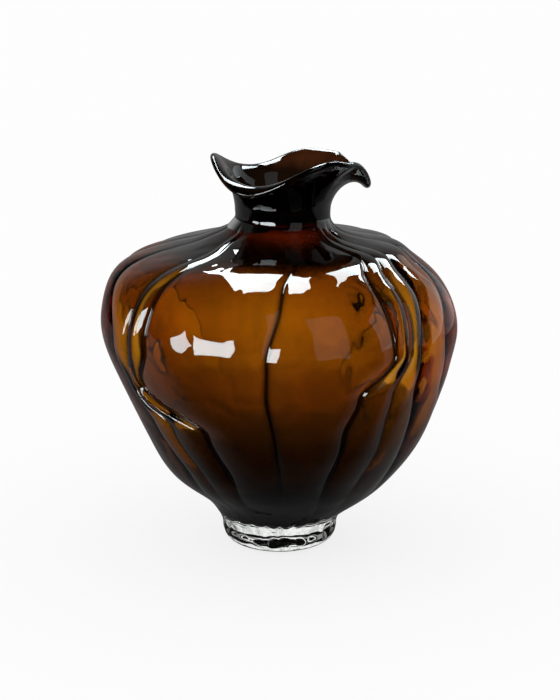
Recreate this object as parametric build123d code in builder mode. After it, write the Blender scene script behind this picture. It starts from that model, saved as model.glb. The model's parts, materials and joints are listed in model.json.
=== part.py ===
"""Gourd vase: a mouth-blown amber vessel with pleated folds and a ruffled lip,
set on a thick clear foot. Millimetres, +Z up, the origin under the middle of the foot."""

import os
from math import cos, hypot, pi, radians, sin

from build123d import *

# Clear foot, whose side leans out at the rim by foot_flare for each unit of rise
foot_radius = 34.6
foot_height = 20.0
foot_edge_round = 9.5
foot_rim_radius = 38.0
foot_rim_width = 1.6
foot_flare = 0.6
pontil_radius = 18.0
pontil_depth = 4.0
flute_count = 24
flute_depth = 0.7
flute_radius = 6.5
flute_bottom = 6.0
flute_stop_below_rim = 4.0

# Amber vessel, with its domed underside in the foot's seat
seat_depth = 2.5
floor_thickness = 4.0
floor_inset = 12.0
belly_height = 136.0
belly_radius = 106.2
neck_height = 200.0
neck_radius = 28.2
wall = 3.0
fold_depth = 4.5

# Ruffled lip: the straight throat above the neck, the wall, where it turns over, and the share of
# the half wall at which the rim's rounding ends at the edge
throat_length = 4.5
lip_wall = 3.4
lip_lead = 10.5
lip_turn_rise = 23.5
rim_shoulder = 0.55

# Outline of the vessel, as shares of the way from the foot rim to the belly and from the belly
# to the neck: height, widening, and lean to +X in belly radii
lower_outline = [
    (0.000, 0.000, 0.000),
    (0.086, 0.170, 0.036),
    (0.207, 0.412, 0.023),
    (0.397, 0.640, 0.033),
    (0.690, 0.857, 0.024),
    (0.845, 0.947, 0.007),
]
upper_outline = [
    (0.000, 0.000, -0.002),
    (0.250, 0.035, -0.014),
    (0.470, 0.130, -0.033),
    (0.640, 0.310, -0.023),
    (0.760, 0.560, 0.050),
    (0.852, 0.845, 0.005),
    (1.000, 1.000, 0.017),
]

# Each fold's valley: its azimuth in degrees from the front, towards +X, at the five heights of
# fold_stations (shares of the way from the foot rim to the neck), and its depth, as a share of
# fold_depth, in the lower and the upper half
fold_stations = [0.14, 0.38, 0.51, 0.645, 0.88]
folds = [
    ((-46, -59, -66, -68, -84), 0.9, 1.0),
    ((-34, -46, -61, -57, -53), 0.1, 0.8),
    ((-22, -31, -56, -49, -45), 1.0, 1.0),
    ((-1, -4, -5, -4, 4), 0.8, 0.8),
    ((18, 22, 27, 40, 41), 1.0, 1.0),
    ((34, 38, 40, 46, 51), 0.4, 0.7),
    ((58, 54, 52, 52, 62), 0.9, 1.0),
    ((84, 79, 74, 69, 86), 0.8, 0.9),
    ((108, 104, 98, 96, 108), 0.9, 1.0),
    ((130, 128, 124, 126, 132), 0.7, 0.9),
    ((156, 152, 146, 152, 160), 1.0, 0.9),
    ((180, 182, 184, 188, 190), 0.9, 1.0),
    ((206, 210, 214, 218, 216), 0.8, 0.9),
    ((234, 238, 236, 240, 243), 1.0, 1.0),
    ((262, 262, 258, 258, 256), 0.8, 0.8),
]

# Depth of the folds along the same way up: they run out at the foot and at the neck
fold_fade = [(0.0, 0.0), (0.10, 0.25), (0.26, 0.80), (0.45, 1.0), (0.85, 1.0), (0.94, 0.4), (1.0, 0.0)]

# A narrow lobe between two folds stands no higher than this share of its own width
lobe_rise = 0.22

# How much fuller than a plain arc a lobe is
lobe_fullness = 0.4

# Edge of the lip at its crests and dips in turn: azimuth, reach beyond the neck, rise above the
# throat, and the share of the way out at which the wall turns over
lip_edge = [
    (38, 18.6, 33.6, 0.35),
    (54, 20.0, 31.5, 0.37),
    (103, 22.3, 12.5, 0.55),
    (132, 15.0, 28.0, 0.40),
    (154, 13.0, 28.5, 0.38),
    (208, 9.8, 18.8, 0.50),
    (270, 12.5, 31.6, 0.36),
    (330, 13.3, 15.2, 0.55),
    (398, 18.6, 33.6, 0.35),
]
lip_stations = [0.30, 0.60, 0.88]


def between(pairs, x):
    """Value at x of a line through (x, value) pairs, with eased steps between them."""
    for (x0, v0), (x1, v1) in zip(pairs, pairs[1:]):
        if x <= x1:
            t = max(0.0, (x - x0) / (x1 - x0))
            return v0 + (v1 - v0) * (1 - cos(pi * t)) / 2
    return pairs[-1][1]


def vessel_levels():
    """The outline's levels from the foot rim to the neck, as (height, radius, lean)."""
    levels = []
    for rise, widening, lean in lower_outline:
        height = foot_height + (belly_height - foot_height) * rise
        radius = foot_rim_radius + (belly_radius - foot_rim_radius) * widening
        levels.append((height, radius, lean * belly_radius))
    for rise, narrowing, lean in upper_outline:
        height = belly_height + (neck_height - belly_height) * rise
        radius = belly_radius + (neck_radius - belly_radius) * narrowing
        levels.append((height, radius, lean * belly_radius))
    return levels


def fold_fading(height):
    """How much of the folds' depth a height has, and how far up the body it lies."""
    way_up = (height - foot_height) / (neck_height - foot_height)
    return between(fold_fade, way_up), way_up


def valleys(height, radius, depth):
    """Azimuth and radius of each fold's valley on one level."""
    fading, way_up = fold_fading(height)
    found = []
    for azimuths, low_share, high_share in folds:
        azimuth = between(list(zip(fold_stations, azimuths)), way_up)
        share = low_share + (high_share - low_share) * min(1.0, way_up / fold_stations[-1])
        found.append((azimuth, radius - depth * share * fading))
    return found


def on_ring(azimuth, radius, height, lean=0.0):
    """Point round the axis, with the azimuth counted from the front (-Y) towards +X."""
    return Vector(lean + radius * sin(radians(azimuth)), -radius * cos(radians(azimuth)), height)


def lobed_ring(height, radius, lean, depth):
    """Ring of one level: a curve for each lobe, from valley to valley over its crown."""
    found = valleys(height, radius, depth)
    fullness = (1 + lobe_fullness * fold_fading(height)[0] * depth / fold_depth) / 6
    curves = []
    for (a0, r0), (a1, r1) in zip(found, found[1:] + [(found[0][0] + 360, found[0][1])]):
        middle = (a0 + a1) / 2
        crown = min(radius, (r0 + r1) / 2 + lobe_rise * radius * radians(a1 - a0))
        start = on_ring(a0, r0, height, lean)
        end = on_ring(a1, r1, height, lean)
        over = (on_ring(middle, crown, height, lean) * 8 - start - end) / 6
        reach = on_ring(middle + 90, fullness * (end - start).length, 0)
        curves.append(Edge.make_bezier(start, over - reach, over + reach, end))
    return Wire(curves)


def lip_profile(azimuth, along, side):
    """Point and direction of the lip's wall at an azimuth, in radius and height: along from the
    throat (0) to the edge (1), side -1 on the inner face, 0 mid-wall and 1 on the outer face."""
    first = lip_edge[0][0]
    around = first + (azimuth - first) % 360
    reach, rise, turn_share = (
        between([(turn[0], turn[i]) for turn in lip_edge], around) for i in (1, 2, 3)
    )
    root_r = neck_radius - lip_wall / 2
    edge_r = neck_radius + reach
    reins = [
        Vector(root_r, throat_height),
        Vector(root_r, throat_height + lip_lead),
        Vector(root_r + (edge_r - root_r) * turn_share, throat_height + lip_turn_rise),
        Vector(edge_r, throat_height + rise),
    ]
    curve = Edge.make_bezier(*reins)
    run = curve % along
    return curve @ along + Vector(run.Y, -run.X) * side * lip_wall / 2, run


def lip_ring(along, side, beyond=0.0):
    """Ring round the lip in a curve for each lobe, beyond its place along the wall by a length."""

    def point(azimuth):
        place, run = lip_profile(azimuth, along, side)
        return on_ring(azimuth, place.X + run.X * beyond, place.Y + run.Y * beyond, neck_lean)

    def heading(azimuth):
        return (point(azimuth + 1) - point(azimuth - 1)) / 2

    starts = [azimuth for azimuth, _ in valleys(neck_height, neck_radius, 0)]
    curves = []
    for a0, a1 in zip(starts, starts[1:] + [starts[0] + 360]):
        lead = heading(a0) * (a1 - a0) / 3
        tail = heading(a1) * (a1 - a0) / 3
        curves.append(Edge.make_bezier(point(a0), point(a0) + lead, point(a1) - tail, point(a1)))
    return Wire(curves)


def hollow_levels(levels):
    """Levels of the hollow: the valleys' outline, moved in by the wall square to itself."""
    inset = []
    for (z0, r0, _), (z, r, lean), (z1, r1, _) in zip(levels, levels[1:], levels[2:]):
        length = hypot(z1 - z0, r1 - r0)
        out_r, out_z = (z1 - z0) / length, (r0 - r1) / length
        valley = min(radius for _, radius in valleys(z, r, fold_depth))
        inset.append((z - wall * out_z, valley - wall * out_r, lean))
    return inset


levels = vessel_levels()
neck_lean = levels[-1][2]
throat_height = neck_height + throat_length
seat_edge = (foot_rim_radius - foot_rim_width, foot_height)
seat_middle = (0, foot_height - seat_depth)

# The outer face runs from the foot rim over the pleated body and up the lip to the crest of its
# rounded rim, the inner face from there down to the floor
crest = lip_ring(1.0, 0, lip_wall / 2)
outer_rings = [lobed_ring(*level, fold_depth) for level in levels[:-1]]
outer_rings += [lip_ring(0.0, 1, -throat_length)]
outer_rings += [lip_ring(along, 1) for along in [0.0] + lip_stations]
outer_rings += [lip_ring(1.0, rim_shoulder), crest]
inner_rings = [crest, lip_ring(1.0, -rim_shoulder)]
inner_rings += [lip_ring(along, -1) for along in reversed([0.0] + lip_stations)]
inner_rings += [lobed_ring(*level, 0) for level in reversed(hollow_levels(levels))]
floor_height = foot_height - seat_depth + floor_thickness
inner_rings += [lobed_ring(floor_height, foot_rim_radius - floor_inset, 0, 0)]
wall_faces = Shell.make_loft(outer_rings).faces() + Shell.make_loft(inner_rings).faces()
bottom = [Face(outer_rings[0]), Face(inner_rings[-1])]

with BuildPart() as amber_vessel:
    add(Solid(Shell(wall_faces + bottom)))
    # Domed underside that sits in the foot
    with BuildSketch(Plane.XZ):
        with BuildLine():
            TangentArc(seat_middle, seat_edge, tangent=(1, 0))
            Polyline(seat_edge, (0, foot_height), seat_middle)
        make_face()
    revolve(axis=Axis.Z)
amber_vessel.part.label = "amber_vessel"

with BuildPart() as clear_foot:
    with BuildSketch(Plane.XZ):
        with BuildLine():
            rest = Line((0, 0), (foot_radius - foot_edge_round, 0))
            edge = TangentArc(rest @ 1, (foot_radius, foot_edge_round), tangent=rest % 1)
            side = Spline(edge @ 1, (foot_rim_radius, foot_height), tangents=(edge % 1, (foot_flare, 1)))
            Line(side @ 1, seat_edge)
            TangentArc(seat_middle, seat_edge, tangent=(1, 0))
            Line(seat_middle, (0, 0))
        make_face()
    revolve(axis=Axis.Z)
    with BuildSketch(Plane.XY.offset(flute_bottom)):
        with PolarLocations(foot_radius + flute_radius - flute_depth, flute_count):
            Circle(flute_radius)
    extrude(amount=foot_height - flute_stop_below_rim - flute_bottom, mode=Mode.SUBTRACT)
    # Ground recess underneath, where the iron was broken off
    with BuildSketch(Plane.XZ):
        with BuildLine():
            TangentArc((0, pontil_depth), (pontil_radius, 0), tangent=(1, 0))
            Polyline((pontil_radius, 0), (0, 0), (0, pontil_depth))
        make_face()
    revolve(axis=Axis.Z, mode=Mode.SUBTRACT)
clear_foot.part.label = "clear_foot"

os.makedirs("parts", exist_ok=True)
for piece in (amber_vessel, clear_foot):
    export_step(piece.part, f"parts/{piece.part.label}.step")
    print(piece.part.label, piece.part.is_valid, len(piece.part.solids()), piece.part.volume)
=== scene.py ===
# %% [markdown]
# A gourd vase of mouth-blown glass: an amber bubble with pleated folds, a narrow neck and a
# ruffled lip, set hot on a thick clear foot. The imported CAD model comes in first. It is the fixed
# frame: it says how large each piece is and where it sits, and it stays as it is. The finished vase
# must not grow out of it.

# %% Load the frame
import json
from math import pi, radians

import bpy
import numpy as np
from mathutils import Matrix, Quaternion, Vector

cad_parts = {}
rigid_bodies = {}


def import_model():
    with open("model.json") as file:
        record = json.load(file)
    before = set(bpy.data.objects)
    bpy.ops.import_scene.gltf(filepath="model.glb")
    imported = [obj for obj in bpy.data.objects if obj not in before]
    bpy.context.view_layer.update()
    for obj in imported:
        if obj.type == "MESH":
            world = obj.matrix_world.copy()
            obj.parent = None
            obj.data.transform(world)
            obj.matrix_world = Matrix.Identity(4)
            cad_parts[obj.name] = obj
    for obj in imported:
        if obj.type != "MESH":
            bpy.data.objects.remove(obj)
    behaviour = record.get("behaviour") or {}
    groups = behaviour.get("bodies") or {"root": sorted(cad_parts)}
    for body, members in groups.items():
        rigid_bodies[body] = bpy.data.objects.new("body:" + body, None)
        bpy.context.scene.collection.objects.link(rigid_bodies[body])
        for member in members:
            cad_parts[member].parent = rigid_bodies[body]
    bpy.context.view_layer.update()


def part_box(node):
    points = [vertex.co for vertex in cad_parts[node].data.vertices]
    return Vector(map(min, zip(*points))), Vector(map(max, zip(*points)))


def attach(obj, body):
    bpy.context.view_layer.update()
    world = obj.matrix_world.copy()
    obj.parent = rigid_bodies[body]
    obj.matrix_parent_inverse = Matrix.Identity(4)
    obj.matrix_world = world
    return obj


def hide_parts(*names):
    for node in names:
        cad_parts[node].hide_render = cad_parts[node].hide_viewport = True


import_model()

# %% [markdown]
# The amber vessel is one wall of glass from its domed underside to the crest of its lip and back
# down inside. Its outline could be drawn as one long curve, but a short list of levels is easier to
# change. A level has a height and a radius, as shares of the way from the foot's rim to the belly
# and from the belly to the neck, and a lean to the side in belly radii, because a bubble that is
# swung on the pipe never ends up quite round. The values are those of the CAD source, in metres.

# %% Levels of the vessel
mm = 0.001
foot_low, foot_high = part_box("clear_foot")
foot_height = foot_high.z
foot_rim_radius = foot_high.x
belly_height = 136.0 * mm
belly_radius = 106.2 * mm
neck_height = 200.0 * mm
neck_radius = 28.2 * mm

lower_outline = [
    (0.000, 0.000, 0.000), (0.086, 0.170, 0.036), (0.207, 0.412, 0.023),
    (0.397, 0.640, 0.033), (0.690, 0.857, 0.024), (0.845, 0.947, 0.007),
]
upper_outline = [
    (0.000, 0.000, -0.002), (0.250, 0.035, -0.014), (0.470, 0.130, -0.033),
    (0.640, 0.310, -0.023), (0.760, 0.560, 0.050), (0.852, 0.845, 0.005), (1.000, 1.000, 0.017),
]
levels = [
    (
        foot_height + (belly_height - foot_height) * rise,
        foot_rim_radius + (belly_radius - foot_rim_radius) * widening,
        belly_radius * lean,
    )
    for rise, widening, lean in lower_outline
]
levels += [
    (
        belly_height + (neck_height - belly_height) * rise,
        belly_radius + (neck_radius - belly_radius) * narrowing,
        belly_radius * lean,
    )
    for rise, narrowing, lean in upper_outline
]
neck_lean = levels[-1][2]
print(len(levels), "levels on a foot", round((foot_high.x - foot_low.x) / mm, 1), "mm wide")

# %% [markdown]
# Fifteen folds run up the bubble, where the soft wall was pinched. Each sways to and fro. They could
# be drawn as edges by hand, but a list is easier to mend: a fold has its azimuths at five stations
# of the way up, counted from the front towards the right, its depth low down and high up, and how
# dark it is painted along its line, as painted shade with some gathered glass. The folds at the back
# are paler, so that this painted shade hardly shows through the front wall. Between two stations a
# fold eases from one azimuth to the next.

# %% Folds
fold_stations = np.array([0.14, 0.38, 0.51, 0.645, 0.88])
folds = [
    ((-46, -59, -66, -68, -84), 0.9, 1.0, 1.0),
    ((-34, -46, -61, -57, -53), 0.1, 0.8, 1.0),
    ((-22, -31, -56, -49, -45), 1.0, 1.0, 1.0),
    ((-1, -4, -5, -4, 4), 0.8, 0.8, 1.0),
    ((18, 22, 27, 40, 41), 1.0, 1.0, 1.0),
    ((34, 38, 40, 46, 51), 0.4, 0.7, 0.8),
    ((58, 54, 52, 52, 62), 0.9, 1.0, 1.0),
    ((84, 79, 74, 69, 86), 0.8, 0.9, 1.0),
    ((108, 104, 98, 96, 108), 0.9, 1.0, 0.2),
    ((130, 128, 124, 126, 132), 0.7, 0.9, 0.1),
    ((156, 152, 146, 152, 160), 1.0, 0.9, 0.35),
    ((180, 182, 184, 188, 190), 0.9, 1.0, 0.1),
    ((206, 210, 214, 218, 216), 0.8, 0.9, 0.1),
    ((234, 238, 236, 240, 243), 1.0, 1.0, 0.1),
    ((262, 262, 258, 258, 256), 0.8, 0.8, 0.2),
]
fold_azimuths = np.array([fold[0] for fold in folds], float)
fold_shares = np.array([fold[1:3] for fold in folds])
# The last column: how dark the painted shade along each fold is
fold_darkness = np.array([fold[3] for fold in folds])


def eased(stations, values, spot):
    """Values at a spot, eased from station to station. The stations run along the last axis."""
    spot = np.clip(spot, stations[0], stations[-1])
    i = np.clip(np.searchsorted(stations, spot, side="right") - 1, 0, len(stations) - 2)
    way = (spot - stations[i]) / (stations[i + 1] - stations[i])
    values = np.asarray(values, float)
    return values[..., i] + (values[..., i + 1] - values[..., i]) * (1 - np.cos(pi * way)) / 2


print(len(folds), "folds, half way up at", eased(fold_stations, fold_azimuths, 0.5).round().tolist())

# %% [markdown]
# A lobe is the stretch of a ring from one fold to the next. An even grid would cut across the folds
# and blunt them. So the mesh has a column of points on each fold and spreads the others over the
# lobes, more of them on a wide lobe, and a fold stays a clean line from the foot to the neck.

# %% Columns round the vessel
columns = 300
fewest_columns = 10
lobe_widths = np.diff(np.append(fold_azimuths.mean(axis=1), fold_azimuths[0].mean() + 360))
lobe_columns = np.maximum(fewest_columns, np.round(columns * lobe_widths / 360)).astype(int)
lobe_columns[np.argmax(lobe_columns)] += columns - lobe_columns.sum()
lobe_of = np.repeat(np.arange(len(folds)), lobe_columns)
even_way = np.concatenate([np.arange(count) / count for count in lobe_columns])
print("columns in each lobe", lobe_columns.tolist())

# %% [markdown]
# One ring of the body is a chain of lobes, each a smooth curve that bulges from fold to fold.
# Blender's own curves could draw such a ring, but a mesh made from them doesn't tell which of its
# points belong to which fold. So two small functions do it: one puts points round the axis, and one
# follows a curve with a start, two handles and an end, as curves in Blender have.

# %% Points and curves
def on_ring(azimuth, radius, height, lean):
    """Points round the axis, with the azimuth counted from the front (-Y) towards +X."""
    turn = np.radians(azimuth)
    x = lean + radius * np.sin(turn)
    return np.stack([x, -radius * np.cos(turn), np.broadcast_to(height, np.shape(x))], axis=-1)


def curve(start, first, second, end, way):
    """The place on a curve with two handles, from its start (0) to its end (1), and its run there."""
    rest = 1 - way
    place = start * rest**3 + 3 * first * way * rest**2 + 3 * second * way**2 * rest + end * way**3
    run = (first - start) * rest**2 + 2 * (second - first) * way * rest + (end - second) * way**2
    return place, 3 * run


print("azimuth 90 lies at", on_ring(90, 1, 0, 0).round(2).tolist())

# %% [markdown]
# The folds are deepest at the belly and run out at the foot and at the neck. How near a point is to
# a fold is kept as a number, for two uses: a narrow crease is pressed in along the fold, which is
# pinched to a fine line in the real wall, and the colour is darker there, partly for the glass
# gathered in the fold and partly as painted shade for the dark line that bent light draws along it.
# A painted mask could say the same, but it would slip when a fold is moved.

# %% Depth of the folds
fold_depth = 4.5 * mm
fade_heights = np.array([0.0, 0.10, 0.26, 0.45, 0.85, 0.94, 1.0])
fade_depths = np.array([0.0, 0.25, 0.80, 1.0, 1.0, 0.4, 0.0])
crease_width = 1.9 * mm


def folds_at(height):
    """How deep the folds are at a height (0 to 1), and each one's share of that and its azimuth."""
    way_up = (height - foot_height) / (neck_height - foot_height)
    fading = eased(fade_heights, fade_depths, way_up)
    deeper = np.diff(fold_shares)[:, 0]
    share = fold_shares[:, 0] + deeper * min(1.0, way_up / fold_stations[-1])
    return fading, share, eased(fold_stations, fold_azimuths, way_up)


def nearness(way, span, share):
    """How near the points of a ring are to the fold at either end of their lobe (0 to 1)."""
    from_start = np.exp(-((way * span[lobe_of] / crease_width) ** 2))
    from_end = np.exp(-(((1 - way) * span[lobe_of] / crease_width) ** 2))
    return np.maximum(share[lobe_of] * from_start, np.roll(share, -1)[lobe_of] * from_end)


print("folds at the belly", (folds_at(belly_height)[1] * fold_depth / mm).round(1).tolist(), "mm deep")

# %% [markdown]
# Now one ring. Each lobe runs from fold to fold through its crown, which rises higher on a wide lobe
# but never past the outline. The handles lie level at the crown, so the lobe is full and round, and
# the points crowd towards the folds, where the curve is tightest.

# %% Rings of the pleated body
lobe_rise = 0.22
lobe_fullness = 0.4
crowding = 0.75
crease_depth = 0.45 * mm


def lobed_ring(height, radius, lean, depth):
    """One ring of the pleated body, and how near each of its points is to a fold (0 to 1)."""
    fading, share, azimuth = folds_at(height)
    valley = radius - depth * share * fading
    next_azimuth = np.append(azimuth[1:], azimuth[0] + 360)
    next_valley = np.roll(valley, -1)
    middle = (azimuth + next_azimuth) / 2
    bulge = lobe_rise * radius * np.radians(next_azimuth - azimuth)
    crown = np.minimum(radius, (valley + next_valley) / 2 + bulge)
    start = on_ring(azimuth, valley, height, lean)
    end = on_ring(next_azimuth, next_valley, height, lean)
    # The middle of the two handles, placed so that the curve passes through the crown
    over = (on_ring(middle, crown, height, lean) * 8 - start - end) / 6
    span = np.linalg.norm(end - start, axis=1)
    fullness = (1 + lobe_fullness * fading * depth / fold_depth) / 6
    reach = on_ring(middle + 90, fullness * span, 0, 0)
    way = even_way - crowding * fading * np.sin(2 * pi * even_way) / (2 * pi)
    handles = (over - reach)[lobe_of], (over + reach)[lobe_of]
    ring = curve(start[lobe_of], *handles, end[lobe_of], way[:, None])[0]
    # The painted shade along a fold is as dark as that fold's entry in the list
    darkness = np.where(way < 0.5, fold_darkness[lobe_of], np.roll(fold_darkness, -1)[lobe_of])
    near = nearness(way, span, share) * fading * darkness
    inward = np.array([lean, 0, height]) - ring
    inward /= np.linalg.norm(inward, axis=1)[:, None]
    ring += inward * (near * crease_depth * depth / fold_depth)[:, None]
    return ring, near


widest = lobed_ring(belly_height, belly_radius, 0, fold_depth)[0]
print("ring at the belly", (np.ptp(widest, axis=0)[:2] / mm).round(1).tolist(), "mm across")

# %% [markdown]
# The lip is a wall that stands up from the throat and turns over, drawn out while it was soft. Its
# edge has three crests and three dips, all different. A sculpt brush could pull them, but a curve is
# easier to repeat: at each azimuth the wall follows one from the throat to the edge, and its two
# faces lie half a wall to each side of that curve.

# %% Ruffled lip
throat_length = 4.5 * mm
throat_height = neck_height + throat_length
lip_wall = 3.4 * mm
lip_lead = 10.5 * mm
lip_turn_rise = 23.5 * mm
lip_azimuths = np.array([38, 54, 103, 132, 154, 208, 270, 330, 398], float)
lip_reach = np.array([18.6, 20.0, 22.3, 15.0, 13.0, 9.8, 12.5, 13.3, 18.6]) * mm
lip_rise = np.array([33.0, 30.9, 12.5, 28.0, 28.5, 18.8, 31.3, 15.2, 33.0]) * mm
lip_turn = np.array([0.35, 0.37, 0.55, 0.40, 0.38, 0.50, 0.36, 0.55, 0.35])


def lip_ring(along, side, beyond=0.0):
    """One ring of the lip: along from the throat (0) to the edge (1), side -1 on the inner face
    and 1 on the outer face, beyond the edge by a length."""
    start = eased(fold_stations, fold_azimuths, 1.0)
    azimuth = start[lobe_of] + even_way * np.diff(np.append(start, start[0] + 360))[lobe_of]
    around = lip_azimuths[0] + (azimuth - lip_azimuths[0]) % 360
    reach = eased(lip_azimuths, lip_reach, around)
    rise = eased(lip_azimuths, lip_rise, around)
    turn = eased(lip_azimuths, lip_turn, around)
    root = neck_radius - lip_wall / 2
    edge = neck_radius + reach
    radius, run_out = curve(root, root, root + (edge - root) * turn, edge, along)
    height, run_up = curve(0, lip_lead, lip_turn_rise, rise, along)
    length = np.hypot(run_out, run_up)
    out, up = run_out / length, run_up / length
    radius = radius + up * side * lip_wall / 2 + out * beyond
    height = throat_height + height - out * side * lip_wall / 2 + up * beyond
    return on_ring(azimuth, radius, height, neck_lean)


edge_heights = lip_ring(1.0, 0)[:, 2] / mm
print("lip's edge runs from", edge_heights.min().round(1), "to", edge_heights.max().round(1), "mm high")

# %% [markdown]
# Where the amber meets the clear foot, its edge hangs down in small uneven scallops. They are the
# border between two colours inside one lump of glass. A colour ramp could draw it on one piece, but
# these are two pieces, so both take the same drop from one function, and neither shows a gap.

# %% Scalloped border
scallop_count = 24
scallop_drop = 2.3 * mm
scallop_fade = 4.0 * mm
border_slope = 0.55
depth_change = 0.35
depth_waves = 5
depth_phase = 1.0
width_change = 0.9
width_waves = 3


def hang(ring, share):
    """Lowers a ring at the border by its scallops, along the flare of the foot's side."""
    turn = np.arctan2(ring[:, 0], -ring[:, 1])
    deep = 1 - depth_change + depth_change * np.sin(depth_waves * turn + depth_phase)
    wave = np.abs(np.sin(scallop_count / 2 * turn + width_change * np.sin(width_waves * turn)))
    drop = scallop_drop * deep * wave * share
    radius = np.hypot(ring[:, 0], ring[:, 1])
    lowered = ring - np.outer(drop, [0, 0, 1])
    lowered[:, :2] *= (1 - border_slope * drop / radius)[:, None]
    return lowered


print(scallop_count, "scallops, up to", round(scallop_drop / mm, 1), "mm deep")

# %% [markdown]
# Now the rings are put in order along the wall: out over the domed underside, up the body and the
# outside of the lip, round the crest, and down inside to the floor. Straight lines between the
# levels would leave corners, so a natural spline through the levels gives the rows between them.

# %% Spline through the levels
def spline(points):
    """A natural cubic spline through rows of numbers: a function of the length along it, and that
    length, measured in the first two columns."""
    points = np.array(points, float)
    lengths = np.append(0, np.cumsum(np.hypot(*np.diff(points[:, :2], axis=0).T)))
    steps = np.diff(lengths)
    slopes = np.diff(points, axis=0) / steps[:, None]
    system = np.eye(len(points))
    change = np.zeros_like(points)
    for i in range(1, len(points) - 1):
        system[i, i - 1 : i + 2] = steps[i - 1], 2 * (steps[i - 1] + steps[i]), steps[i]
        change[i] = 6 * (slopes[i] - slopes[i - 1])
    bend = np.linalg.solve(system, change)

    def at(length):
        i = min(max(np.searchsorted(lengths, length, side="right") - 1, 0), len(steps) - 1)
        past, left = length - lengths[i], lengths[i + 1] - length
        return (
            (bend[i] * left**3 + bend[i + 1] * past**3) / (6 * steps[i])
            + (points[i] / steps[i] - bend[i] * steps[i] / 6) * left
            + (points[i + 1] / steps[i] - bend[i + 1] * steps[i] / 6) * past
        )

    return at, lengths[-1]


outer_levels = levels[:-1] + [(z, neck_radius, neck_lean) for z in (neck_height, throat_height)]
outline, outline_length = spline(outer_levels)
print("outline is", round(outline_length / mm, 1), "mm long up to the throat")

# %% [markdown]
# The vessel's underside is a shallow dome that is fused into the foot. A boolean could cut the one
# shape out of the other, but both glasses can as well take the dome's height from one function. A
# gap of a few hundredths of a millimetre keeps their faces from fighting for the same place.

# %% Rows of the underside
seat_depth = 2.5 * mm
foot_rim_width = 1.6 * mm
fused_gap = 0.03 * mm
dome_rows = 16
seat_radius = foot_rim_radius - foot_rim_width
dome_radius = (seat_radius**2 + seat_depth**2) / (2 * seat_depth)
rings, near_fold = [], []


def add_ring(ring, near=0.0):
    rings.append(ring)
    near_fold.append(np.broadcast_to(near, len(ring)))


def dome_height(radius):
    """Height of the dome between the vessel and the foot, at a radius."""
    return foot_height - seat_depth + dome_radius - (dome_radius**2 - radius**2) ** 0.5


round_ring = lobed_ring(foot_height, foot_rim_radius, 0, 0)[0] / foot_rim_radius
for radius in np.linspace(0, seat_radius, dome_rows):
    add_ring(round_ring * [radius, radius, 0] + [0, 0, dome_height(radius) + fused_gap])
fused_rows = len(rings)
print(fused_rows, "rows under the vessel")

# %% [markdown]
# The outside goes up the spline ring by ring, with the scallops on its lowest few millimetres. The
# lip follows, outside first, then the rounded rim, then inside back to the throat. Fewer rows and
# a Subdivision Surface modifier could do, but that would round off the folds. So the rows are set
# close, about as far apart as the columns are at the belly.

# %% Rows of the outside and the lip
row_step = 2.3 * mm
lip_rows = 20
rim_rows = 9
for length in np.linspace(0, outline_length, round(outline_length / row_step)):
    height, radius, lean = outline(length)
    height = max(height, foot_height + fused_gap)
    ring, near = lobed_ring(height, radius, lean, fold_depth)
    add_ring(hang(ring, np.clip(1 - (height - foot_height) / scallop_fade, 0, 1)), near)
for along in np.linspace(0, 1, lip_rows)[1:]:
    add_ring(lip_ring(along, 1))
for turn in np.linspace(0, pi, rim_rows)[1:-1]:
    add_ring(lip_ring(1.0, np.cos(turn), np.sin(turn) * lip_wall / 2))
for along in np.linspace(1, 0, lip_rows):
    add_ring(lip_ring(along, -1))
print(len(rings), "rows up to the inside of the throat")

# %% [markdown]
# Inside, the wall follows the outside at a wall's thickness, down to a slightly dished floor. A
# Solidify modifier could give the thickness, but it would make the inner folds as deep as the outer
# ones, and here they are shallower. So the inside has a spline of its own. It has no level at the
# neck, which is a fault: from 194.5 to 200 mm up, part of the inner face runs as much as 0.9 mm
# outside the outer face.

# %% Rows of the inside
wall = 3.0 * mm
inner_fold_depth = 2.4 * mm
# The inner folds get less of the painted shade along the folds
inner_darkness = 0.6
floor_thickness = 4.0 * mm
floor_inset = 12.0 * mm
dish_radius = 12.0 * mm
dish_drop = 1.0 * mm
middle_drop = 1.2 * mm
floor_height = foot_height - seat_depth + floor_thickness
lowest = floor_height - middle_drop

hollow = [(throat_height, neck_radius - lip_wall, neck_lean)]
for below, level, above in list(zip(levels, levels[1:], levels[2:]))[::-1]:
    rise, widening = above[0] - below[0], above[1] - below[1]
    run = np.hypot(rise, widening)
    inset = wall * rise / run + (fold_depth - inner_fold_depth) * folds_at(level[0])[0]
    hollow.append((level[0] + wall * widening / run, level[1] - inset, level[2]))
hollow.append((floor_height, foot_rim_radius - floor_inset, 0))
hollow.append((floor_height - dish_drop, dish_radius, 0))
inside, inside_length = spline(hollow)
for length in np.linspace(0, inside_length, round(inside_length / row_step))[1:]:
    height, radius, lean = inside(length)
    ring, near = lobed_ring(max(height, lowest), radius, lean, inner_fold_depth)
    add_ring(ring, near * inner_darkness)
add_ring(np.tile([0, 0, lowest], (columns, 1)))
rings, near_fold = np.array(rings), np.array(near_fold)
print(len(rings), "rows of", columns, "points")

# %% [markdown]
# The blower starts from a plain bubble and so does the mesh: one profile of the wall, drawn point
# by point with the extrude operator and spun round the axis. The spin leaves two points in one
# place where it closes and many at the axis, so the doubles are merged, and then the normals are
# turned outwards.

# %% Spin a profile
doubles_distance = 0.002 * mm


def deselect_all():
    for item in bpy.context.view_layer.objects:
        item.select_set(False)


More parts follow.
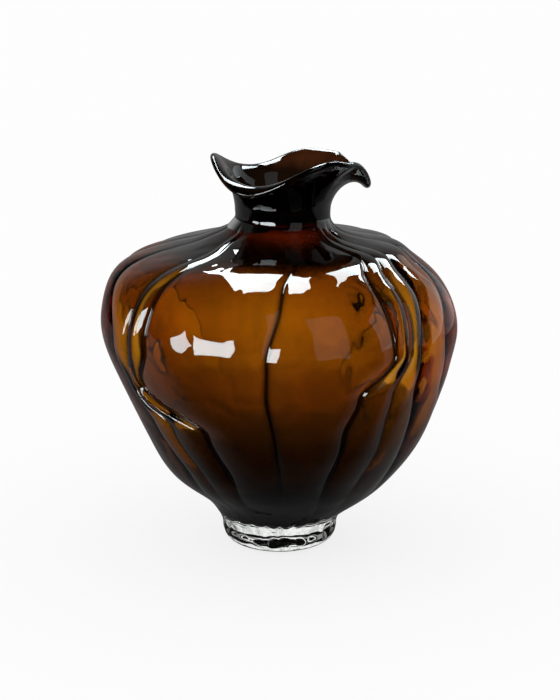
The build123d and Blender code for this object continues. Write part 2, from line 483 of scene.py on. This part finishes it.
def spin_profile(name, radii, heights, steps):
    """Draws a profile by extruding a point, and spins it round the Z axis into a closed mesh."""
    deselect_all()
    bpy.ops.mesh.primitive_plane_add(size=mm, location=(0, 0, 0))
    piece = bpy.context.object
    piece.name = piece.data.name = name
    bpy.ops.object.mode_set(mode="EDIT")
    bpy.ops.mesh.select_all(action="SELECT")
    bpy.ops.mesh.merge(type="CENTER")
    bpy.ops.transform.translate(value=(radii[0], 0, heights[0]))
    for out, up in zip(np.diff(radii), np.diff(heights)):
        bpy.ops.mesh.extrude_vertices_move(TRANSFORM_OT_translate={"value": (out, 0, up)})
    bpy.ops.mesh.select_all(action="SELECT")
    bpy.ops.mesh.spin(steps=steps, angle=2 * pi, center=(0, 0, 0), axis=(0, 0, 1))
    bpy.ops.mesh.select_all(action="SELECT")
    bpy.ops.mesh.remove_doubles(threshold=doubles_distance)
    bpy.ops.mesh.normals_make_consistent(inside=False)
    bpy.ops.object.mode_set(mode="OBJECT")
    bpy.ops.object.shade_smooth()
    return piece


centre = rings.mean(axis=1)
plain_radii = np.hypot(rings[..., 0] - centre[:, None, 0], rings[..., 1]).mean(axis=1)
plain_heights = centre[:, 2]
vessel = spin_profile("amber_vessel_glass", plain_radii, plain_heights, columns)
print(vessel.name, "spun from", len(plain_radii), "points")

# %% [markdown]
# Only then are the folds and the ruffle pressed in, by moving each point of the spun wall to its
# place on its ring. A sculpt brush could do that by hand, but the rings give the same folds as the
# CAD solid. Each point also gets its nearness to a fold, for the painted shade along the folds.

# %% Amber vessel
def points_of(piece):
    points = np.empty(len(piece.data.vertices) * 3)
    piece.data.vertices.foreach_get("co", points)
    return points.reshape(-1, 3)


def move_points(piece, points):
    piece.data.vertices.foreach_set("co", points.ravel())
    piece.data.update()


def rows_and_columns(piece, radii, heights, steps):
    """Which row of the profile and which step of the spin each point of a spun mesh comes from."""
    points = points_of(piece)
    radius = np.hypot(points[:, 0], points[:, 1])
    off = (radius[:, None] - radii) ** 2 + (points[:, 2][:, None] - heights) ** 2
    turn = np.arctan2(points[:, 0], -points[:, 1])
    return off.argmin(axis=1), np.round(turn / (2 * pi) * steps).astype(int) % steps


def report(piece):
    count = sum(len(face.vertices) - 2 for face in piece.data.polygons)
    size = (np.ptp(points_of(piece), axis=0) / mm).round(1)
    print(piece.name, count, "triangles,", size.tolist(), "mm")


vessel_row, vessel_column = rows_and_columns(vessel, plain_radii, plain_heights, columns)
move_points(vessel, rings[vessel_row, vessel_column])
# The nearness to a fold carries the painted shade along the folds into the colour
fold_mask = vessel.data.attributes.new("near_fold", "FLOAT", "POINT")
fold_mask.data.foreach_set("value", near_fold[vessel_row, vessel_column].astype(np.float32))
report(vessel)

# %% [markdown]
# The foot is a gather of clear glass, pressed on while soft. A cylinder with bevels could stand for
# it, but its side flares, so it is spun from a profile as the vessel is. The profile has the ground
# recess, the ring that the vase stands on, the rounded edge, the side that flares to the rim, and
# the dished seat under the vessel.

# %% Clear foot
foot_radius = 34.6 * mm
foot_edge_round = 9.5 * mm
foot_flare = 0.6
recess_radius = 18.0 * mm
recess_depth = 4.0 * mm
flute_count = 24
flute_points = 15
foot_columns = flute_count * flute_points
recess_rows = 10
stand_rows = 6
edge_rows = 14
side_rows = 14

profile = []
for share in np.linspace(0, 1, recess_rows):
    profile.append((recess_radius * share, recess_depth * (1 - share**2)))
for radius in np.linspace(recess_radius, foot_radius - foot_edge_round, stand_rows)[1:]:
    profile.append((radius, 0.0))
edge_start = len(profile)
for turn in np.linspace(0, pi / 2, edge_rows)[1:]:
    radius = foot_radius - foot_edge_round * (1 - np.sin(turn))
    profile.append((radius, foot_edge_round * (1 - np.cos(turn))))
side_rise = foot_height - foot_edge_round
for way in np.linspace(0, 1, side_rows)[1:]:
    widening = (3 * way**2 - 2 * way**3) * (foot_rim_radius - foot_radius)
    widening += (way**3 - way**2) * foot_flare * side_rise
    profile.append((foot_radius + widening, foot_edge_round + side_rise * way))
seat_start = len(profile)
for radius in np.linspace(seat_radius, 0, dome_rows):
    profile.append((radius, dome_height(radius) - fused_gap))
foot_radii, foot_heights = np.array(profile).T
foot = spin_profile("clear_foot_glass", foot_radii, foot_heights, foot_columns)
report(foot)

# %% [markdown]
# Fine upright flutes run round the foot's side. Each could be cut with a cylinder and a boolean, but
# soft glass has no sharp edges, so the points of the side are pressed inwards instead, to the depth
# of a round groove. No two flutes are alike in place, depth or lower end.

# %% Press the flutes
flute_depth = 1.0 * mm
flute_radius = 6.5 * mm
flute_bottom = 6.0 * mm
flute_top = foot_height - 4.0 * mm
flute_run_in = 3.0 * mm
flute_run_out = 2.0 * mm
off_centre = 0.12
shallowest = 0.25
end_lower = 1.5 * mm
end_higher = 2.5 * mm
flute_seed = 4

foot_row, foot_column = rows_and_columns(foot, foot_radii, foot_heights, foot_columns)
points = points_of(foot)
height = points[:, 2]
flute = foot_column // flute_points
pitch = 2 * pi * foot_radius / flute_count
draws = np.random.default_rng(flute_seed)
place = foot_column % flute_points / flute_points - 0.5
across = (place + draws.uniform(-off_centre, off_centre, flute_count)[flute]) * pitch
groove = np.sqrt(np.maximum(flute_radius**2 - across**2, 0)) - (flute_radius - flute_depth)
groove *= draws.uniform(shallowest, 1.0, flute_count)[flute]
low_end = flute_bottom + draws.uniform(-end_lower, end_higher, flute_count)[flute]
run_in = np.clip((height - low_end) / flute_run_in, 0, 1)
run_out = np.clip((flute_top - height) / flute_run_out, 0, 1)
on_side = (foot_row >= edge_start) & (foot_row < seat_start)
pressed = np.where(on_side, np.maximum(groove, 0) * run_in * run_out, 0)
radius = np.maximum(np.hypot(points[:, 0], points[:, 1]), mm)
points[:, :2] *= (1 - pressed / radius)[:, None]
near_rim = np.clip((height - foot_height + scallop_fade) / scallop_fade, 0, 1)
points[on_side] = hang(points[on_side], near_rim[on_side])
move_points(foot, points)
print(flute_count, "flutes,", round(pressed.max() / mm, 2), "mm deep")

# %% [markdown]
# Both glasses were worked by hand, so they share one effect: streaks in the glass, drawn out
# upwards, and a slight waver of its surface. A painted picture could show them, but noise needs no
# picture and has no seam. The effect is a node group with two outputs, a mask of the streaks and a
# height for a bump, placed in each material with its own scales.

# %% Hand-worked glass
streak_stretch = 0.16


def node(tree, kind, **settings):
    """A new node, with its inputs and its other settings given by name."""
    made = tree.nodes.new("ShaderNode" + kind)
    for key, value in settings.items():
        if key in made.inputs:
            made.inputs[key].default_value = value
        else:
            setattr(made, key, value)
    return made


hand_worked = bpy.data.node_groups.new("hand_worked_glass", "ShaderNodeTree")
for in_out, labels in (("INPUT", ("Streak Scale", "Waver Scale")), ("OUTPUT", ("Streaks", "Waver"))):
    for label in labels:
        hand_worked.interface.new_socket(label, in_out=in_out, socket_type="NodeSocketFloat")
link = hand_worked.links.new
inlet = hand_worked.nodes.new("NodeGroupInput")
outlet = hand_worked.nodes.new("NodeGroupOutput")
place = node(hand_worked, "TexCoord").outputs["Object"]
stretch = node(hand_worked, "Mapping", Scale=(1.0, 1.0, streak_stretch))
streaks = node(hand_worked, "TexNoise", Detail=3.0, Roughness=0.55, Distortion=0.6)
waver = node(hand_worked, "TexNoise", Detail=1.0, Roughness=0.4, Distortion=0.3)
link(place, stretch.inputs["Vector"])
link(stretch.outputs["Vector"], streaks.inputs["Vector"])
link(place, waver.inputs["Vector"])
link(inlet.outputs["Streak Scale"], streaks.inputs["Scale"])
link(inlet.outputs["Waver Scale"], waver.inputs["Scale"])
link(streaks.outputs["Fac"], outlet.inputs["Streaks"])
link(waver.outputs["Fac"], outlet.inputs["Waver"])
print("shared effect:", hand_worked.name)

# %% [markdown]
# Every glass here is a Principled shader that lets all light through, with the waver as a bump. A
# Glass shader would do for the look, but the Principled one is what other programs can read. Where
# two glasses are fused, light passes with no face to bend or mirror it, so the index of refraction
# is left open here.

# %% Glass
waver_height = 0.8 * mm


def glass_material(name, index, streak_scale, waver_scale):
    """A smooth glass with the waver on its surface, and the streaks to tint it by."""
    material = bpy.data.materials.new(name)
    material.use_nodes = True
    tree = material.node_tree
    shader = tree.nodes["Principled BSDF"]
    shader.inputs["Roughness"].default_value = 0.0
    shader.inputs["IOR"].default_value = index
    shader.inputs["Transmission Weight"].default_value = 1.0
    worked = tree.nodes.new("ShaderNodeGroup")
    worked.node_tree = hand_worked
    worked.inputs["Streak Scale"].default_value = streak_scale
    worked.inputs["Waver Scale"].default_value = waver_scale
    bump = node(tree, "Bump", Strength=1.0, Distance=waver_height)
    tree.links.new(worked.outputs["Waver"], bump.inputs["Height"])
    tree.links.new(bump.outputs["Normal"], shader.inputs["Normal"])
    return material, tree, worked.outputs["Streaks"]


print("the surface wavers by up to", round(waver_height / mm, 1), "mm")

# %% [markdown]
# The tint of a glass is worked out by a few nodes. They could be placed and linked one by one, but
# the same four come back again and again, so each has a small function: a value spread over a new
# range, a blend of two colours or numbers, a colour multiplied, and a sum.

# %% Nodes for a tint
def put(tree, value, socket):
    """Links a socket to an input, or sets a constant on it."""
    if isinstance(value, bpy.types.NodeSocket):
        tree.links.new(value, socket)
    else:
        socket.default_value = value


def spread(tree, value, low, high, to_low=0.0, to_high=1.0, kind="LINEAR"):
    """A value between low and high, spread from to_low to to_high."""
    limits = {"From Min": low, "From Max": high, "To Min": to_low, "To Max": to_high}
    made = node(tree, "MapRange", interpolation_type=kind, **limits)
    tree.links.new(value, made.inputs["Value"])
    return made.outputs["Result"]


def blend(tree, share, first, second, kind="RGBA", **settings):
    """A blend of two colours or two numbers."""
    made = node(tree, "Mix", data_type=kind, **settings)
    put(tree, share, made.inputs["Factor"])
    put(tree, first, made.inputs["A"])
    put(tree, second, made.inputs["B"])
    return made.outputs["Result"]


def multiplied(tree, colour, factor):
    """A colour times another one, or times a grey factor."""
    return blend(tree, 1.0, colour, factor, blend_type="MULTIPLY")


def worked_out(tree, operation, first, second, **settings):
    """A number worked out from two others."""
    made = node(tree, "Math", operation=operation, **settings)
    put(tree, first, made.inputs[0])
    put(tree, second, made.inputs[1])
    return made.outputs["Value"]


print("nodes for a tint are ready")

# %% [markdown]
# In both glasses the tint changes with the height. A picture painted on the wall could do that, but
# a colour ramp along the upright axis needs no picture, and a level is moved by one number. The
# levels wander up and down with the streaks, so that none shows as a straight line.

# %% Tint by height
level_wander = 12.0 * mm


def place_on(tree, coordinates="Object"):
    """The place on a piece, and that place split into X, Y and Z."""
    place = node(tree, "TexCoord").outputs[coordinates]
    split = node(tree, "SeparateXYZ")
    tree.links.new(place, split.inputs["Vector"])
    return place, split.outputs


def height_ramp(tree, stops, wander):
    """A colour by height above the table, from (millimetres, colour) stops. A mask from 0 to 1
    makes the levels wander up and down."""
    bottom, top = stops[0][0], stops[-1][0]
    shift = worked_out(tree, "MULTIPLY", worked_out(tree, "SUBTRACT", wander, 0.5), level_wander)
    level = worked_out(tree, "ADD", shift, place_on(tree)[1]["Z"])
    ramp = node(tree, "ValToRGB")
    ramp.color_ramp.interpolation = "EASE"
    ramp.color_ramp.elements.remove(ramp.color_ramp.elements[1])
    ramp.color_ramp.elements[0].color = (*stops[0][1], 1.0)
    for height, colour in stops[1:]:
        stop = ramp.color_ramp.elements.new((height - bottom) / (top - bottom))
        stop.color = (*colour, 1.0)
    tree.links.new(spread(tree, level, bottom * mm, top * mm), ramp.inputs["Fac"])
    return ramp.outputs["Color"]


print("levels wander over", round(level_wander / mm, 1), "mm")

# %% [markdown]
# Amber glass takes its colour from what it absorbs, and the real wall is uneven, so the colour runs
# from clear amber at the belly to almost black at the neck and the base. Absorption alone can't
# show that, because this wall is almost even. So light is tinted as it passes each face, by height,
# with streaks, and darker along the folds. Part of that tint is painted light and shade: a black band
# across the top of the shoulder, a lighter red glow of light through the glass below the neck, the
# near-black base, which also stands for the shadow under the vase, and the painted shade along the
# folds. Seen at a slant, light goes a longer way through the glass, so there the tint goes over to
# its fourth power. A light absorption in the glass itself darkens whatever runs far inside the wall,
# as at the edges.

# %% Amber glass
# Partly painted light and shade: the black band at 184 to 188 mm is painted shade on the shoulder, the
# lighter band at 194 to 199 mm a painted glow below the neck, and the lowest levels partly a painted
# shadow from under the vase
amber_and_shade_by_height = [
    (10, (0.005, 0.003, 0.002)),
    (26, (0.010, 0.006, 0.004)),
    (37, (0.035, 0.015, 0.006)),
    (57, (0.110, 0.047, 0.012)),
    (65, (0.180, 0.080, 0.018)),
    (78, (0.270, 0.130, 0.030)),
    (93, (0.470, 0.280, 0.055)),
    (120, (0.760, 0.480, 0.094)),
    (150, (0.760, 0.480, 0.094)),
    (170, (0.640, 0.390, 0.075)),
    (179, (0.520, 0.280, 0.050)),
    (184, (0.020, 0.009, 0.006)),
    (188, (0.030, 0.011, 0.007)),
    (194, (0.160, 0.032, 0.015)),
    (199, (0.160, 0.032, 0.015)),
    (203, (0.010, 0.005, 0.003)),
    (222, (0.010, 0.005, 0.003)),
    (232, (0.080, 0.026, 0.014)),
    (245, (0.160, 0.045, 0.020)),
]
passed_colour = (0.82, 0.64, 0.04, 1.0)
absorption = 220.0


def amber_glass(name, index):
    material, tree, streaks = glass_material(name, index, streak_scale=34.0, waver_scale=55.0)
    near = node(tree, "Attribute", attribute_name="near_fold").outputs["Fac"]
    uneven = spread(tree, streaks, low=0.3, high=0.7, to_low=0.80, to_high=1.12)
    # Darker along the folds: partly the gathered glass, partly painted shade
    gathered_and_shaded = spread(tree, near, low=0.0, high=0.7, to_low=1.0, to_high=0.02)
    tint = multiplied(tree, height_ramp(tree, amber_and_shade_by_height, streaks), uneven)
    tint = multiplied(tree, tint, gathered_and_shaded)
    squared = multiplied(tree, tint, tint)
    slant = node(tree, "LayerWeight", Blend=0.75).outputs["Facing"]
    tint = blend(tree, slant, tint, multiplied(tree, squared, squared))
    tree.links.new(tint, tree.nodes["Principled BSDF"].inputs["Base Color"])
    absorb = node(tree, "VolumeAbsorption", Density=absorption, Color=passed_colour)
    tree.links.new(absorb.outputs["Volume"], tree.nodes["Material Output"].inputs["Volume"])
    return material


print("amber glass with", len(amber_and_shade_by_height), "levels of colour")

# %% [markdown]
# The clear gather is nearly colourless, with a trace of green and fine grey streaks. On the real
# foot the ends look dark, where the thick glass shows dim surroundings. Dark cards to the left and
# right could bring that about, but they would show in the amber too. So the dark ends are painted
# shade in the tint itself, which goes dark at a slant, half way up the foot.

# %% Clear glass
streak_grey = (0.48, 0.51, 0.48, 1.0)
clear_tint = (0.99, 1.0, 0.985, 1.0)
painted_end_shade = (0.05, 0.05, 0.045, 1.0)
# Where the painted shade of the dark ends lies, by height
dark_ends_by_height = [
    (0, (0.0, 0.0, 0.0)),
    (4, (0.0, 0.0, 0.0)),
    (8, (1.0, 1.0, 1.0)),
    (11, (1.0, 1.0, 1.0)),
    (15, (0.2, 0.2, 0.2)),
    (20, (0.2, 0.2, 0.2)),
]


def clear_glass(name, index):
    material, tree, streaks = glass_material(name, index, streak_scale=150.0, waver_scale=110.0)
    tint = blend(tree, spread(tree, streaks, low=0.36, high=0.52), streak_grey, clear_tint)
    slant = node(tree, "LayerWeight", Blend=0.5).outputs["Facing"]
    dark_ends = height_ramp(tree, dark_ends_by_height, streaks)
    dark_ends = multiplied(tree, dark_ends, spread(tree, slant, low=0.30, high=0.65))
    tint = blend(tree, dark_ends, tint, painted_end_shade)
    tree.links.new(tint, tree.nodes["Principled BSDF"].inputs["Base Color"])
    return material


print("clear glass with", len(dark_ends_by_height), "levels for its dark ends")

# %% [markdown]
# The outside of each piece bends light as glass in air does. Where the two gathers are fused, light
# goes on straight from one glass to the other. The two pieces could be joined to get that, but they
# stay two, so the faces at the seat have an index of refraction of 1 and let light pass as it is.

# %% Outside and fused faces
glass_index = 1.5
fused_index = 1.0


def two_finishes(piece, outside, fused, is_fused):
    """Gives a piece its outside glass, and the fused one to the faces whose points all pass."""
    piece.data.materials.append(outside)
    piece.data.materials.append(fused)
    for face in piece.data.polygons:
        face.material_index = int(all(is_fused[point] for point in face.vertices))
    print(piece.name, sum(face.material_index for face in piece.data.polygons), "fused faces")


amber_outside = amber_glass("amber_glass", glass_index)
amber_fused = amber_glass("amber_glass_fused", fused_index)
two_finishes(vessel, amber_outside, amber_fused, vessel_row <= fused_rows)
clear_outside = clear_glass("clear_glass", glass_index)
clear_fused = clear_glass("clear_glass_fused", fused_index)
two_finishes(foot, clear_outside, clear_fused, foot_row >= seat_start - 1)

# %% [markdown]
# Each piece stands for its CAD solid, which is hidden, and rides on the vase's one body. The solids
# could be shown themselves, but they have no scallops, no uneven flutes and no mask for the folds.

# %% Put the pieces on the frame
for piece, solid, finish in ((vessel, "amber_vessel", "amber_glass"), (foot, "clear_foot", "clear_glass")):
    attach(piece, "root")
    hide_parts(solid)
    print(piece.name, "stands for", solid)

# %% [markdown]
# The vase stands on a white floor. It is scenery and no piece of the vase. A curved backdrop could
# be built, but the room behind is white too, so a plane is enough, and its edge lies far outside
# the picture.

# %% Floor
floor_size = 12.0
deselect_all()
bpy.ops.mesh.primitive_plane_add(size=floor_size, location=(0, 0, 0))
floor = bpy.context.object
floor.name = "floor"
print("floor", floor_size, "m wide")

# %% [markdown]
# Glass shows what is around it, and black and white cards could be set up for that as in a studio.
# Here the floor looks different to each kind of ray instead, told apart by the Light Path node.
# Looked at, it is white with the vase's own shadow. Looked at through the glass, it is white but
# shaded round the foot, most of all in front. Mirrored in the glass, it is dim, and almost black
# in front of the vase.

# %% Floor paint
floor_grey = (0.93, 0.93, 0.93, 1.0)
glow_share = 0.8
shade_centre = (0.0, -0.03, 0.0)


def mirror_rays(tree):
    """The Light Path node's outputs, and a mask of the rays that a surface mirrored. Cycles also
    counts a ray through clear glass as glossy, so those that were let through are taken off."""
    rays = node(tree, "LightPath").outputs
    through = rays["Is Transmission Ray"]
    return rays, worked_out(tree, "SUBTRACT", rays["Is Glossy Ray"], through, use_clamp=True)


floor_paint = bpy.data.materials.new("floor_paint")
floor_paint.use_nodes = True
floor.data.materials.append(floor_paint)
tree = floor_paint.node_tree
link = tree.links.new
rays, in_mirror = mirror_rays(tree)
place, split = place_on(tree)
paint = tree.nodes["Principled BSDF"]
paint.inputs["Roughness"].default_value = 0.9
paint.inputs["Specular IOR Level"].default_value = 0.0
mirrored = spread(tree, split["Y"], low=-0.12, high=-0.04, to_low=0.012, to_high=0.20)
link(blend(tree, in_mirror, floor_grey, mirrored), paint.inputs["Base Color"])
from_shade = node(tree, "VectorMath", operation="DISTANCE")
from_shade.inputs[1].default_value = shade_centre
link(place, from_shade.inputs[0])
distance = from_shade.outputs["Value"]
shade = spread(tree, distance, low=0.03, high=0.07, to_low=0.10, to_high=1.0, kind="SMOOTHSTEP")
white = node(tree, "Emission")
link(blend(tree, rays["Is Transmission Ray"], 1.0, shade, kind="FLOAT"), white.inputs["Strength"])
looked_at = worked_out(tree, "MAXIMUM", rays["Is Camera Ray"], rays["Is Transmission Ray"])
shown = node(tree, "MixShader")
link(worked_out(tree, "MULTIPLY", looked_at, glow_share), shown.inputs["Fac"])
link(paint.outputs["BSDF"], shown.inputs[1])
link(white.outputs["Emission"], shown.inputs[2])
link(shown.outputs["Shader"], tree.nodes["Material Output"].inputs["Surface"])
print(floor_paint.name, "has", len(tree.nodes), "nodes")

# %% [markdown]
# The room is the world around the vase, and works in the same way. Walls could be built, but a world
# has no edges to show in the glass. Looked at, it is white. Looked at through the glass, it is white
# behind the vase and dimmer towards the viewer. Mirrored in the glass it is dark, as a studio is,
# apart from a soft light behind the vase.

# %% Room
room = bpy.data.worlds.new("studio")
bpy.context.scene.world = room
room.use_nodes = True
tree = room.node_tree
rays, in_mirror = mirror_rays(tree)
split = place_on(tree, "Generated")[1]
mirrored = spread(tree, split["Y"], low=0.45, high=0.95, to_low=0.012, to_high=0.28, kind="SMOOTHSTEP")
behind = spread(tree, split["Y"], low=-0.2, high=0.55, to_low=0.3, to_high=1.0, kind="SMOOTHSTEP")
through = blend(tree, rays["Is Transmission Ray"], 1.0, behind, kind="FLOAT")
strength = blend(tree, in_mirror, through, mirrored, kind="FLOAT")
background = tree.nodes["Background"]
background.inputs["Color"].default_value = (1.0, 1.0, 1.0, 1.0)
tree.links.new(strength, background.inputs["Strength"])
print(room.name, "has", len(tree.nodes), "nodes")

# %% [markdown]
# Six soft boxes make the reflections: two above and behind the vase that lie across the shoulder, a
# window with a second pane at the front left, and two dim panels at the right. Bright planes could
# stand in for them, but those would be more meshes in the scene. The lamps are seen in reflections
# alone, so they leave the floor as it is, and are placed by where they are seen from the belly.

# %% Soft boxes
lamp_tint = (0.87, 0.97, 1.0)
lamp_distance = 1.5


def soft_box(name, azimuth, elevation, wide, tall, brightness, roll=0.0):
    """A soft box seen from the belly at an azimuth from the front and an elevation, so many degrees
    wide and tall, and so many times as bright as white."""
    lamp = bpy.data.lights.new(name, "AREA")
    lamp.shape = "RECTANGLE"
    lamp.size = 2 * lamp_distance * np.tan(radians(wide) / 2)
    lamp.size_y = 2 * lamp_distance * np.tan(radians(tall) / 2)
    lamp.energy = brightness * 4 * lamp.size * lamp.size_y
    lamp.color = lamp_tint
    box = bpy.data.objects.new(name, lamp)
    bpy.context.scene.collection.objects.link(box)
    aim = Vector((0, 0, belly_height))
    out = lamp_distance * np.cos(radians(elevation))
    up = lamp_distance * np.sin(radians(elevation))
    box.location = aim + Vector(on_ring(azimuth, out, up, 0))
    facing = (aim - box.location).to_track_quat("-Z", "Y")
    box.rotation_euler = (facing @ Quaternion((0, 0, 1), radians(roll))).to_euler()
    box.visible_camera = box.visible_diffuse = box.visible_transmission = False
    print(name, "at", [round(x, 2) for x in box.location])


soft_box("overhead_box", azimuth=-172, elevation=60, wide=16, tall=42, brightness=14.0)
soft_box("overhead_right_box", azimuth=140, elevation=49, wide=16, tall=28, brightness=11.0)
soft_box("front_left_box", azimuth=-36, elevation=5, wide=36, tall=19, brightness=13.0)
soft_box("left_pane", azimuth=-66, elevation=2, wide=18, tall=13, brightness=10.0, roll=36)
soft_box("right_panel", azimuth=116, elevation=3, wide=66, tall=60, brightness=0.5)
soft_box("front_right_panel", azimuth=32, elevation=22, wide=30, tall=58, brightness=0.35)

# %% [markdown]
# The camera looks down at 15 degrees from a little over a metre, with a long lens, and the picture
# is upright. A wide lens close by would swell the belly. The colours are shown as they are, with no
# film look over them. Light that runs along inside the wall is mirrored many times before it comes
# out, so more mirrorings than usual are followed, or the edges of the glass would turn black.

# %% Camera
camera_distance = 1.2
camera_tilt = radians(15)
camera_aim = Vector((0.0002, 0, 0.1186))
focal_pixels = 2000.0
picture_height = 700
mirrorings = 12
bounces = 16
camera = bpy.data.cameras.new("camera")
camera.sensor_width = 36.0
camera.lens = camera.sensor_width * focal_pixels / picture_height
shot = bpy.data.objects.new("camera", camera)
scene = bpy.context.scene
scene.collection.objects.link(shot)
back = Vector((0, -np.cos(camera_tilt), np.sin(camera_tilt)))
shot.location = camera_aim + back * camera_distance
shot.rotation_euler = (-back).to_track_quat("-Z", "Y").to_euler()
scene.camera = shot
scene.view_settings.view_transform = "Standard"
scene.cycles.glossy_bounces = mirrorings
scene.cycles.max_bounces = bounces
print("lens", round(camera.lens, 1), "mm")
